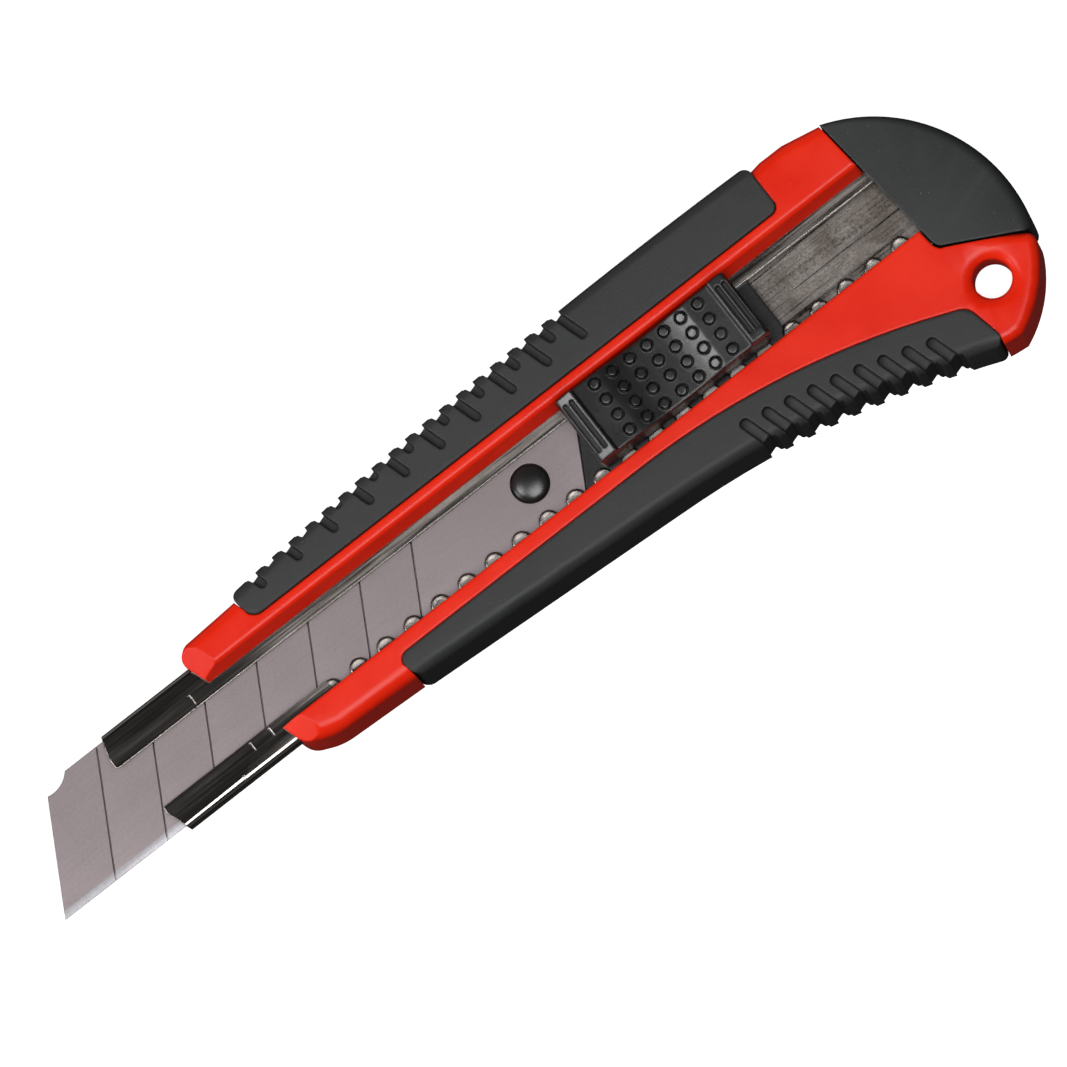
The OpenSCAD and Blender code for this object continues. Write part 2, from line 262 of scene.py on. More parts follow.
def round_edges(
    piece: bpy.types.Object,
    chosen: Callable[[Vector, Vector], bool],
    width: float,
    segments: int = 3,
) -> None:
    """Round the edges whose two ends pass a test.

    Args:
        piece: The piece to round.
        chosen: Test of an edge's two ends.
        width: Radius of the rounding.
        segments: Number of strips across it.
    """
    count = pick(piece, edge=chosen)
    if count:
        bpy.ops.mesh.bevel(offset=width, segments=segments, profile=0.5, clamp_overlap=False)
    bpy.ops.object.mode_set(mode="OBJECT")
    log.info("%s: %d edges rounded by %.2f mm", piece.name, count, width)


def level(a: Vector, b: Vector) -> bool:
    """Return whether two places are at the same height."""
    return abs(a.z - b.z) < CLOSE


def over_line(chain: Sequence[Point], *places: Vector) -> bool:
    """Return whether every place stands over the open line through the chain's points in plan."""
    def on_stretch(place: Vector, start: Point, end: Point) -> bool:
        """Return whether a place stands over the straight stretch from start to end."""
        here, a, b = Vector((place.x, place.y)), Vector(start), Vector(end)
        nearest, share = intersect_point_line(here, a, b)
        return -0.001 < share < 1.001 and (nearest.to_2d() - here).length < CLOSE
    return all(any(on_stretch(p, a, b) for a, b in zip(chain, chain[1:])) for p in places)


def saw(
    piece: bpy.types.Object, point: Sequence[float], normal: Sequence[float], off: bool = False
) -> None:
    """Cut through a piece's faces along a plane, and leave it in edit mode.

    Args:
        piece: The piece to cut.
        point: A place on the plane.
        normal: The direction that the plane faces.
        off: Whether the side that the normal points to comes off and the cut is closed.
    """
    take_up(piece, editing=True)
    bpy.ops.mesh.select_all(action="SELECT")
    bpy.ops.mesh.bisect(
        plane_co=point, plane_no=normal, use_fill=off, clear_outer=off, threshold=SAW_REACH)


def mend(piece: bpy.types.Object) -> None:
    """Merge vertices that nearly touch and close small holes."""
    take_up(piece, editing=True)
    bpy.ops.mesh.select_mode(type="VERT")
    bpy.ops.mesh.select_all(action="SELECT")
    bpy.ops.mesh.remove_doubles(threshold=0.4 * CLOSE)
    bpy.ops.mesh.select_all(action="SELECT")
    bpy.ops.mesh.fill_holes(sides=6)
    bpy.ops.object.mode_set(mode="OBJECT")


def filleted(corners: Iterable[Corner], steps: int = 5) -> list[Point]:
    """Replace the corners of an outline by arcs.

    Args:
        corners: X, Y and radius of each corner in order; radius 0 keeps it sharp.
        steps: Number of stretches in each arc.

    Returns:
        The outline's points.
    """
    ring = list(corners)
    points: list[Point] = []
    for i, (x, y, radius) in enumerate(ring):
        here = Vector((x, y))
        if radius <= 0:
            points.append((x, y))
            continue
        back = (Vector(ring[i - 1][:2]) - here).normalized()
        ahead = (Vector(ring[(i + 1) % len(ring)][:2]) - here).normalized()
        half = back.angle(ahead) / 2
        reach = radius / math.tan(half)
        centre = here + (back + ahead).normalized() * (radius / math.sin(half))
        start = here + back * reach - centre
        sweep = start.angle_signed(here + ahead * reach - centre)
        for k in range(steps + 1):
            points.append(tuple(centre + Matrix.Rotation(-sweep * k / steps, 2) @ start))
    return points


def arc(centre: Point, radius: float, start: float, end: float, steps: int) -> list[Point]:
    """Return points on an arc from one angle to another, in degrees."""
    angles = (math.radians(start + (end - start) * k / steps) for k in range(steps + 1))
    return [(centre[0] + radius * math.cos(a), centre[1] + radius * math.sin(a)) for a in angles]


def spread(start: float, end: float, steps: int) -> list[float]:
    """Return evenly spread values, both ends included."""
    return [start + (end - start) * k / steps for k in range(steps + 1)]


def heights(piece: bpy.types.Object) -> tuple[float, float]:
    """Return a piece's lowest and highest Z."""
    levels = [corner[2] for corner in piece.bound_box]
    return min(levels), max(levels)


def box_mm(node: str) -> tuple[Vector, Vector]:
    """Return a frame node's lowest and highest corners, in millimetres."""
    low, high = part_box(node)
    return low / MM, high / MM


def hand_over(
    piece: bpy.types.Object,
    finish: bpy.types.Material,
    node: str,
    body: str,
    smooth: float = 40,
) -> bpy.types.Object:
    """Finish a piece: bring it to metres, shade and dress it, and mount it on its body.

    Args:
        piece: The modelled piece, in millimetres.
        finish: Its material.
        node: The frame node that it stands for.
        body: The body that it rides on.
        smooth: Edges blunter than this angle, in degrees, are shaded smooth.

    Returns:
        The finished piece.
    """
    take_up(piece, editing=True)
    bpy.ops.mesh.select_all(action="SELECT")
    bpy.ops.mesh.remove_doubles(threshold=WELD)
    bpy.ops.mesh.quads_convert_to_tris(quad_method="BEAUTY", ngon_method="BEAUTY")
    bpy.ops.object.mode_set(mode="OBJECT")
    piece.scale = (MM, MM, MM)
    bpy.ops.object.transform_apply(location=True, rotation=True, scale=True)
    bpy.ops.object.shade_smooth_by_angle(angle=math.radians(smooth))
    step = piece.modifiers.new("even", "WEIGHTED_NORMAL")
    step.keep_sharp = True
    bpy.ops.object.modifier_apply(modifier=step.name)
    piece.data.materials.clear()
    piece.data.materials.append(finish)
    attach(piece, body)
    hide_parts(node)
    log.info("%s: %d faces, rides on %s", piece.name, len(piece.data.polygons), body)
    return piece


# ---------------------------------------------------------------- finishes


class Tree:
    """A node tree under construction, with short ways to add and join nodes."""

    def __init__(self, tree: bpy.types.NodeTree) -> None:
        """Start from an empty tree."""
        self.tree = tree
        tree.nodes.clear()

    def add(self, kind: str, **inputs: object) -> bpy.types.Node:
        """Add a node.

        Args:
            kind: The node's type name.
            inputs: Sockets by name, underscores for spaces; a socket is linked, a value is set.

        Returns:
            The new node.
        """
        node = self.tree.nodes.new(kind)
        for name, value in inputs.items():
            self.feed(node.inputs[name.replace("_", " ")], value)
        return node

    def feed(self, socket: bpy.types.NodeSocket, value: object) -> None:
        """Link a socket to an output, or set its own value."""
        if isinstance(value, bpy.types.NodeSocket):
            self.tree.links.new(value, socket)
        else:
            socket.default_value = value

    def maths(self, how: str, a: object, b: object = 0.0) -> bpy.types.NodeSocket:
        """Return the result of a Math node."""
        node = self.tree.nodes.new("ShaderNodeMath")
        node.operation = how
        self.feed(node.inputs[0], a)
        self.feed(node.inputs[1], b)
        return node.outputs[0]

    def ramp(self, value: bpy.types.NodeSocket, low: float, high: float) -> bpy.types.NodeSocket:
        """Return a value stretched so that low becomes 0 and high becomes 1, and kept there."""
        node = self.tree.nodes.new("ShaderNodeMapRange")
        node.clamp = True
        self.feed(node.inputs["Value"], value)
        self.feed(node.inputs["From Min"], low)
        self.feed(node.inputs["From Max"], high)
        return node.outputs["Result"]

    def blend(self, share: object, a: object, b: object) -> bpy.types.NodeSocket:
        """Return a colour between a and b."""
        node = self.tree.nodes.new("ShaderNodeMix")
        node.data_type = "RGBA"
        self.feed(node.inputs["Factor"], share)
        self.feed(node.inputs[6], a)
        self.feed(node.inputs[7], b)
        return node.outputs[2]

    def use(
        self, shared: bpy.types.NodeTree, where: bpy.types.NodeSocket, **values: float
    ) -> bpy.types.bpy_prop_collection:
        """Add a shared effect and return its outputs.

        Args:
            shared: The effect's node group.
            where: The coordinates that it is laid out in.
            values: The effect's own settings, by input name.
        """
        node = self.add("ShaderNodeGroup")
        node.node_tree = shared
        self.feed(node.inputs["Vector"], where)
        for name, value in values.items():
            node.inputs[name].default_value = value
        return node.outputs

    def noise(
        self, vector: object, scale: object, detail: float = 2.0, rough: float = 0.5
    ) -> bpy.types.NodeSocket:
        """Return a noise value at a scale, in cells per metre of the vector."""
        node = self.add("ShaderNodeTexNoise", Scale=scale, Detail=detail, Roughness=rough)
        self.feed(node.inputs["Vector"], vector)
        return node.outputs["Fac"]


def group(
    name: str, sockets_in: dict[str, float | None], sockets_out: Sequence[str]
) -> tuple[bpy.types.NodeTree, Tree, bpy.types.Node, bpy.types.Node]:
    """Start a shader node group.

    Args:
        name: The group's name.
        sockets_in: Input names with their default value; None makes a vector input.
        sockets_out: Names of the outputs: values, and one called Normal if the group has it.

    Returns:
        The group, its tree helper, its input node and its output node.
    """
    made = bpy.data.node_groups.new(name, "ShaderNodeTree")
    for label, value in sockets_in.items():
        kind = "NodeSocketVector" if value is None else "NodeSocketFloat"
        socket = made.interface.new_socket(label, in_out="INPUT", socket_type=kind)
        if value is not None:
            socket.default_value = value
    for label in sockets_out:
        kind = "NodeSocketVector" if label == "Normal" else "NodeSocketFloat"
        made.interface.new_socket(label, in_out="OUTPUT", socket_type=kind)
    tree = Tree(made)
    return made, tree, tree.add("NodeGroupInput"), tree.add("NodeGroupOutput")


def moulded_surface() -> bpy.types.NodeTree:
    """Build the group for moulded plastic and rubber: fine grain, cloudy patches and dust."""
    made, tree, given, out = group(
        "moulded surface",
        {"Vector": None, "Grain": 5000.0, "Patch": 90.0, "Dust": 0.72},
        ["Height", "Patches", "Specks"],
    )
    vector = given.outputs["Vector"]
    fine = tree.noise(vector, given.outputs["Grain"], 3.0, 0.6)
    broad = tree.noise(vector, given.outputs["Patch"], 4.0, 0.55)
    waves = tree.noise(vector, tree.maths("MULTIPLY", given.outputs["Grain"], 0.12), 2.0, 0.5)
    height = tree.maths("ADD", fine, tree.maths("MULTIPLY", waves, 0.6))
    dust = tree.noise(vector, 3000.0, 1.0, 0.4)
    specks = tree.ramp(dust, given.outputs["Dust"], tree.maths("ADD", given.outputs["Dust"], 0.04))
    tree.feed(out.inputs["Height"], height)
    tree.feed(out.inputs["Patches"], tree.ramp(broad, 0.3, 0.7))
    tree.feed(out.inputs["Specks"], specks)
    return made


def worked_edges() -> bpy.types.NodeTree:
    """Build the group that rounds edges off, masks the edges for wear and a painted highlight, and
    masks recesses for painted shade.
    """
    made, tree, given, out = group(
        "worked edges", {"Vector": None, "Reach": 0.0004}, ["Normal", "Rubbed and highlit", "Recess shade"]
    )
    rounded = tree.add("ShaderNodeBevel", Radius=given.outputs["Reach"])
    rounded.samples = 6
    plain = tree.add("ShaderNodeNewGeometry")
    dot = tree.tree.nodes.new("ShaderNodeVectorMath")
    dot.operation = "DOT_PRODUCT"
    tree.feed(dot.inputs[0], rounded.outputs["Normal"])
    tree.feed(dot.inputs[1], plain.outputs["Normal"])
    edge = tree.ramp(tree.maths("SUBTRACT", 1.0, dot.outputs["Value"]), 0.01, 0.12)
    broken = tree.ramp(tree.noise(given.outputs["Vector"], 900.0, 3.0, 0.6), 0.4, 0.65)
    # ambient occlusion: where recesses get painted shade
    occlusion_shade = tree.add("ShaderNodeAmbientOcclusion", Distance=0.0016)
    occlusion_shade.samples = 6
    tree.feed(out.inputs["Normal"], rounded.outputs["Normal"])
    tree.feed(out.inputs["Rubbed and highlit"], tree.maths("MULTIPLY", edge, broken))
    tree.feed(out.inputs["Recess shade"], tree.ramp(occlusion_shade.outputs["AO"], 0.72, 0.2))
    return made


def drawn_streaks() -> bpy.types.NodeTree:
    """Build the group for strip steel: lengthwise streaks, cloudy stains and pits."""
    made, tree, given, out = group(
        "drawn streaks",
        {"Vector": None, "Cloud": 160.0},
        ["Streaks", "Clouds", "Pits", "Height"],
    )
    long_way = tree.add("ShaderNodeMapping", Scale=(55.0, 2600.0, 2600.0))
    tree.feed(long_way.inputs["Vector"], given.outputs["Vector"])
    fine = tree.noise(long_way.outputs["Vector"], 1.0, 3.0, 0.6)
    broad_way = tree.add("ShaderNodeMapping", Scale=(30.0, 420.0, 420.0))
    tree.feed(broad_way.inputs["Vector"], given.outputs["Vector"])
    broad = tree.noise(broad_way.outputs["Vector"], 1.0, 3.0, 0.6)
    streaks = tree.maths("MULTIPLY", tree.maths("ADD", fine, broad), 0.5)
    clouds = tree.noise(given.outputs["Vector"], given.outputs["Cloud"], 5.0, 0.65)
    pits = tree.noise(given.outputs["Vector"], 2600.0, 3.0, 0.7)
    tree.feed(out.inputs["Streaks"], tree.ramp(streaks, 0.38, 0.64))
    tree.feed(out.inputs["Clouds"], tree.ramp(clouds, 0.36, 0.64))
    tree.feed(out.inputs["Pits"], tree.ramp(pits, 0.42, 0.66))
    tree.feed(out.inputs["Height"], tree.maths("ADD", fine, tree.maths("MULTIPLY", pits, 0.8)))
    return made


@dataclass(frozen=True)
class Workshop:
    """The shared surface effects that every finish is built from."""

    moulded: bpy.types.NodeTree
    edges: bpy.types.NodeTree
    streaks: bpy.types.NodeTree

    @classmethod
    def open(cls) -> "Workshop":
        """Build each shared effect once."""
        return cls(moulded_surface(), worked_edges(), drawn_streaks())


def start_material(
    name: str,
) -> tuple[bpy.types.Material, Tree, bpy.types.Node, bpy.types.NodeSocket]:
    """Start a material.

    Args:
        name: The material's name.

    Returns:
        The material, its tree, its Principled shader and the object coordinates.
    """
    material = bpy.data.materials.new(name)
    material.use_nodes = True
    tree = Tree(material.node_tree)
    shader = tree.add("ShaderNodeBsdfPrincipled")
    tree.add("ShaderNodeOutputMaterial", Surface=shader.outputs["BSDF"])
    return material, tree, shader, tree.add("ShaderNodeTexCoord").outputs["Object"]


def rgba(colour: Sequence[float]) -> tuple[float, float, float, float]:
    """Return a linear colour with full alpha."""
    return (colour[0], colour[1], colour[2], 1.0)


@dataclass(frozen=True)
class Plastic:
    """A moulded plastic or rubber finish.

    Attributes are linear colours, and lengths in metres or cells per metre.
    """

    name: str
    colour: Sequence[float]
    deep: Sequence[float]
    worn_and_highlit: Sequence[float]
    roughness: float
    spread: float
    grain: float
    bump: float
    patch: float = 90.0
    wear_and_highlight: float = 0.5
    dust: float = 0.72
    specular: float = 0.5
    # rim: how strongly faces turned away from Z get painted shade and a smoother finish
    rim: float = 0.0
    edge: float = 0.0004

    def build(self, shop: Workshop) -> bpy.types.Material:
        """Return the material, built from the shared effects."""
        material, tree, shader, where = start_material(self.name)
        skin = tree.use(shop.moulded, where, Grain=self.grain, Patch=self.patch, Dust=self.dust)
        edges = tree.use(shop.edges, where, Reach=self.edge)
        base = tree.blend(skin["Patches"], rgba(self.deep), rgba(self.colour))
        # edges get a lighter colour: partly wear, partly a painted highlight
        base = tree.blend(tree.maths("MULTIPLY", edges["Rubbed and highlit"], self.wear_and_highlight), base, rgba(self.worn_and_highlit))
        # faces turned away from Z get painted shade, darker than the face, and a smoother finish
        turned_shade_and_polish = tree.maths("MULTIPLY", self.tilt(tree), self.rim)
        base = tree.blend(turned_shade_and_polish, base, rgba([0.25 * c for c in self.deep]))
        base = tree.blend(tree.maths("MULTIPLY", skin["Specks"], 0.2), base, (0.5, 0.5, 0.48, 1.0))
        # recesses get painted shade: the colour darkens towards a near-black of the deep tone
        shade = tree.maths("MULTIPLY", edges["Recess shade"], 0.85)
        base = tree.blend(shade, base, rgba([0.15 * c for c in self.deep]))
        tree.feed(shader.inputs["Base Color"], base)
        rough = tree.maths("MULTIPLY", skin["Patches"], self.spread)
        rough = tree.maths("ADD", rough, self.roughness - self.spread / 2)
        rough = tree.maths("ADD", rough, tree.maths("MULTIPLY", shade, 0.3))
        smoother = tree.maths("MULTIPLY", turned_shade_and_polish, -0.15)
        tree.feed(shader.inputs["Roughness"], tree.maths("ADD", rough, smoother))
        shader.inputs["Specular IOR Level"].default_value = self.specular
        bump = tree.add("ShaderNodeBump", Strength=self.bump, Distance=0.00006)
        tree.feed(bump.inputs["Height"], skin["Height"])
        tree.feed(bump.inputs["Normal"], edges["Normal"])
        tree.feed(shader.inputs["Normal"], bump.outputs["Normal"])
        return material

    @staticmethod
    def tilt(tree: Tree) -> bpy.types.NodeSocket:
        """Return 0 on faces square to Z and 1 on faces that turn away from it."""
        normal = tree.add("ShaderNodeTexCoord").outputs["Normal"]
        upright = tree.add("ShaderNodeSeparateXYZ", Vector=normal).outputs["Z"]
        return tree.ramp(tree.maths("ABSOLUTE", upright), 0.95, 0.82)


@dataclass(frozen=True)
class Steel:
    """A strip or ground steel finish, streaked along X."""

    name: str
    colour: Sequence[float]
    stain: Sequence[float]
    bright: Sequence[float]
    roughness: float
    spread: float
    stained: float
    pitted: float
    bump: float
    cloud: float = 160.0
    wear_and_highlight: float = 0.8
    clean_until: float = -1.0
    clean_above: float = 1.0
    ground_below: float = -1.0
    edge: float = 0.00015

    def build(self, shop: Workshop) -> bpy.types.Material:
        """Return the material, built from the shared effects."""
        material, tree, shader, where = start_material(self.name)
        strip = tree.use(shop.streaks, where, Cloud=self.cloud)
        edges = tree.use(shop.edges, where, Reach=self.edge)
        place = tree.add("ShaderNodeSeparateXYZ", Vector=where)
        used = self.use_mask(tree, place)
        stain = tree.maths("MULTIPLY", strip["Clouds"], self.stained)
        base = tree.blend(tree.maths("MULTIPLY", stain, used), rgba(self.colour), rgba(self.stain))
        streak = tree.maths("MULTIPLY", tree.maths("MULTIPLY", strip["Streaks"], 0.5), used)
        base = tree.blend(streak, base, rgba(self.stain))
        pits = tree.maths("MULTIPLY", tree.maths("MULTIPLY", strip["Pits"], self.pitted), used)
        base = tree.blend(pits, base, rgba([0.25 * c for c in self.stain]))
        ground = self.ground_band(tree, where, place.outputs["Y"])
        base = tree.blend(ground, base, rgba(self.bright))
        # edges get the bright colour: partly wear, partly a painted highlight
        rubbed_and_highlit = tree.maths("MULTIPLY", edges["Rubbed and highlit"], self.wear_and_highlight)
        base = tree.blend(rubbed_and_highlit, base, rgba(self.bright))
        # recesses get painted shade, darkened towards near black
        shade = tree.maths("MULTIPLY", edges["Recess shade"], 0.75)
        tree.feed(shader.inputs["Base Color"], tree.blend(shade, base, (0.02, 0.017, 0.015, 1.0)))
        rough = tree.maths("MULTIPLY", strip["Streaks"], self.spread)
        rough = tree.maths("ADD", rough, tree.maths("MULTIPLY", pits, 0.25))
        rough = tree.maths("MULTIPLY", rough, used)
        tree.feed(shader.inputs["Roughness"], tree.maths("ADD", rough, self.roughness))
        shader.inputs["Metallic"].default_value = 1.0
        bump = tree.add("ShaderNodeBump", Distance=0.00003)
        tree.feed(bump.inputs["Strength"], tree.maths("MULTIPLY", used, self.bump))
        tree.feed(bump.inputs["Height"], strip["Height"])
        tree.feed(bump.inputs["Normal"], edges["Normal"])
        tree.feed(shader.inputs["Normal"], bump.outputs["Normal"])
        return material

    def use_mask(self, tree: Tree, place: bpy.types.Node) -> bpy.types.NodeSocket:
        """Return how stained and scratched a place is: little at the front and on the top."""
        rear = tree.ramp(place.outputs["X"], self.clean_until, self.clean_until + 0.012)
        upper = tree.ramp(place.outputs["Z"], self.clean_above, self.clean_above + 0.0008)
        lower = tree.maths("SUBTRACT", 1.0, tree.maths("MULTIPLY", upper, 0.55))
        used = tree.maths("MULTIPLY", rear, lower)
        return tree.maths("ADD", tree.maths("MULTIPLY", used, 0.88), 0.12)

    def ground_band(
        self, tree: Tree, where: bpy.types.NodeSocket, height: bpy.types.NodeSocket
    ) -> bpy.types.NodeSocket:
        """Return a mask of the grinding marks below a height in Y, which run across the band."""
        across = tree.add("ShaderNodeMapping", Scale=(3400.0, 220.0, 220.0))
        tree.feed(across.inputs["Vector"], where)
        marks = tree.ramp(tree.noise(across.outputs["Vector"], 1.0, 3.0, 0.6), 0.2, 0.7)
        band = tree.ramp(height, self.ground_below, self.ground_below - 0.00008)
        return tree.maths("MULTIPLY", band, marks)


RED_HANDLE = Plastic(
    "red_moulding", (0.67, 0.018, 0.003), (0.60, 0.012, 0.002), (0.76, 0.05, 0.02),
    roughness=0.30, spread=0.06, grain=2600.0, bump=0.22, patch=120.0, wear_and_highlight=0.25, dust=0.8,
    specular=0.18,
)
SOFT_GRIP = Plastic(
    "soft_grip_rubber", (0.026, 0.0265, 0.0260), (0.020, 0.0205, 0.0205), (0.070, 0.070, 0.068),
    roughness=0.48, spread=0.12, grain=4200.0, bump=0.6, patch=70.0, wear_and_highlight=0.6, dust=0.78,
    specular=0.22,
)
BLACK_PLASTIC = Plastic(
    "black_moulding", (0.011, 0.010, 0.010), (0.008, 0.008, 0.008), (0.028, 0.028, 0.030),
    roughness=0.27, spread=0.08, grain=3200.0, bump=0.15, patch=160.0, wear_and_highlight=0.3, dust=0.79,
    specular=0.45,
)
CAP_PLASTIC = Plastic(
    "cap_moulding", (0.024, 0.025, 0.025), (0.020, 0.021, 0.021), (0.07, 0.072, 0.074),
    roughness=0.45, spread=0.08, grain=3600.0, bump=0.45, patch=80.0, wear_and_highlight=0.6, dust=0.785,
    specular=0.25, rim=0.9,
)
CHANNEL_STEEL = Steel(
    "plated_channel", (0.26, 0.24, 0.225), (0.075, 0.06, 0.048), (0.70, 0.68, 0.66),
    roughness=0.10, spread=0.55, stained=0.75, pitted=0.5, bump=0.14, clean_until=-0.050,
    clean_above=0.0095,
)
BLADE_STEEL = Steel(
    "blade_steel", (0.176, 0.150, 0.154), (0.155, 0.131, 0.135), (0.17, 0.178, 0.19),
    roughness=0.38, spread=0.08, stained=0.35, pitted=0.12, bump=0.18, cloud=60.0, wear_and_highlight=0.4,
    ground_below=-0.0028,
)
SPRING_STEEL = Steel(
    "spring_steel", (0.62, 0.62, 0.64), (0.45, 0.44, 0.44), (0.9, 0.9, 0.9),
    roughness=0.2, spread=0.10, stained=0.3, pitted=0.1, bump=0.15,
)


# ---------------------------------------------------------------- the knife


@dataclass
class Curves:
    """The long curves of the handle, as heights over X, in millimetres."""

    spine_top: float = 22.7
    spine_x: float = 39.0
    spine_r: float = 870.0
    belly_r: float = 150.0
    seam_r: float = 125.0

    def spine(self, x: float) -> float:
        """Return the height of the spine."""
        return self.spine_top - (x - self.spine_x) ** 2 / (2 * self.spine_r)

    def belly(self, x: float) -> float:
        """Return the height of the belly."""
        return -8.5 - 0.061 * (x + 26) - max(x - 22, 0.0) ** 2 / (2 * self.belly_r)

    def seam(self, x: float) -> float:
        """Return the height of the seam above the lower grip."""
        return -4.3 - max(x - 20, 0.0) ** 2 / (2 * self.seam_r)

    def upper_seam(self) -> list[Point]:
        """Return the seam round the upper grip, front to rear."""
        return filleted([
            (-40.9, self.spine(-40.9), 0.0), (-40.0, 13.9, 2.1), (60.0, 13.9, 1.5),
            (60.0, self.spine(60.0), 0.0)])

    def lower_seam(self) -> list[Point]:
        """Return the seam round the lower grip, front to rear."""
        front = filleted([
            (-25.9, self.belly(-25.9), 0.0), (-26.6, -4.3, 1.5), (0.0, self.seam(0.0), 0.0)])[:-1]
        middle = [(x, self.seam(x)) for x in spread(20, 66, 14)]
        rear = filleted([
            (66.0, self.seam(66.0), 0.0), (72.9, -15.5, 2.6), (74.3, -21.4, 0.0),
            (73.9, self.belly(73.9), 0.0)])[1:]
        return front + middle + rear


@dataclass
class Grooves:
    """A row of slanted grooves moulded into the outer edge of a grip.

    Attributes:
        first: X of the first groove at the grip's edge.
        pitch: Distance from groove to groove.
        count: Number of grooves.
        inward: -1 where the grip lies below its edge, 1 where it lies above.
        width: Width of a groove.
        notch: How far the notch reaches in through the edge.
    """

    first: float
    pitch: float
    count: int
    inward: int
    width: float = 1.5
    notch: float = 0.9
    lean: float = 17.0
    depth: float = 1.1
    fall: float = 0.7

    def axes(self) -> tuple[Vector, Vector]:
        """Return the directions along a groove, inwards, and across it."""
        slope = math.radians(self.lean)
        along = Vector((-math.sin(slope), math.cos(slope))) * self.inward
        return along, Vector((along.y, -along.x))

    def outline(self, root: Vector, shape: Sequence[Point]) -> list[Point]:
        """Place a half outline of (inward, sideways) points, and its mirror image, at a root."""
        along, across = self.axes()
        right = [tuple(root + along * s + across * t) for s, t in shape]
        left = [tuple(root + along * s - across * t) for s, t in reversed(shape)]
        return right + left

    def cut(
        self, grip: bpy.types.Object, edge: Callable[[float], float], reach: Callable[[int], float]
    ) -> None:
        """Cut the grooves into both faces and the notches through the edge.

        Args:
            grip: The grip to cut.
            edge: Height of the grip's outer edge over X.
            reach: How far groove number i reaches in from the edge.
        """
        roots = [Vector((x, edge(x))) for x in (self.first + i * self.pitch
                                                for i in range(self.count))]
        for front in (True, False):
            combine(grip, join([self.groove(grip, root, reach(i), front)
                                for i, root in enumerate(roots)]))
        half, corner = self.width / 2, 0.4
        shape = [(-3.0, half + corner), (0.0, half + corner), (0.12, half + 0.12), (corner, half),
                 (self.notch, half * 0.8)]
        low, high = heights(grip)
        combine(grip, join([trace("notch", self.outline(root, shape), low - 1, high + 1)
                            for root in roots]))

    def groove(
        self, grip: bpy.types.Object, root: Vector, reach: float, front: bool
    ) -> bpy.types.Object:
        """Return the tool for one groove: round-ended, round-bottomed, falling to the edge."""
        low, high = heights(grip)
        half, out = self.width / 2, 2.0
        shape = [(-out, half)] + [
            (reach - half + half * math.sin(a), half * math.cos(a))
            for a in (math.radians(d) for d in (0, 18, 36, 54, 72))]
        floor, mouth = (high - self.depth, high + 1) if front else (low + self.depth, low - 1)
        tool = trace("groove", self.outline(root, shape), floor, mouth)
        on_floor = lambda p: abs(p.z - floor) < CLOSE
        round_edges(tool, lambda a, b: on_floor(a) and on_floor(b), 0.4, 3)
        along, _ = self.axes()
        outer = lambda p: (Vector((p.x, p.y)) - root).dot(along) < -0.5
        pick(tool, vertex=lambda p: outer(p) and abs(p.z - floor) < 0.5)
        bpy.ops.transform.translate(value=(0, 0, -self.fall if front else self.fall))
        bpy.ops.object.mode_set(mode="OBJECT")
        return tool


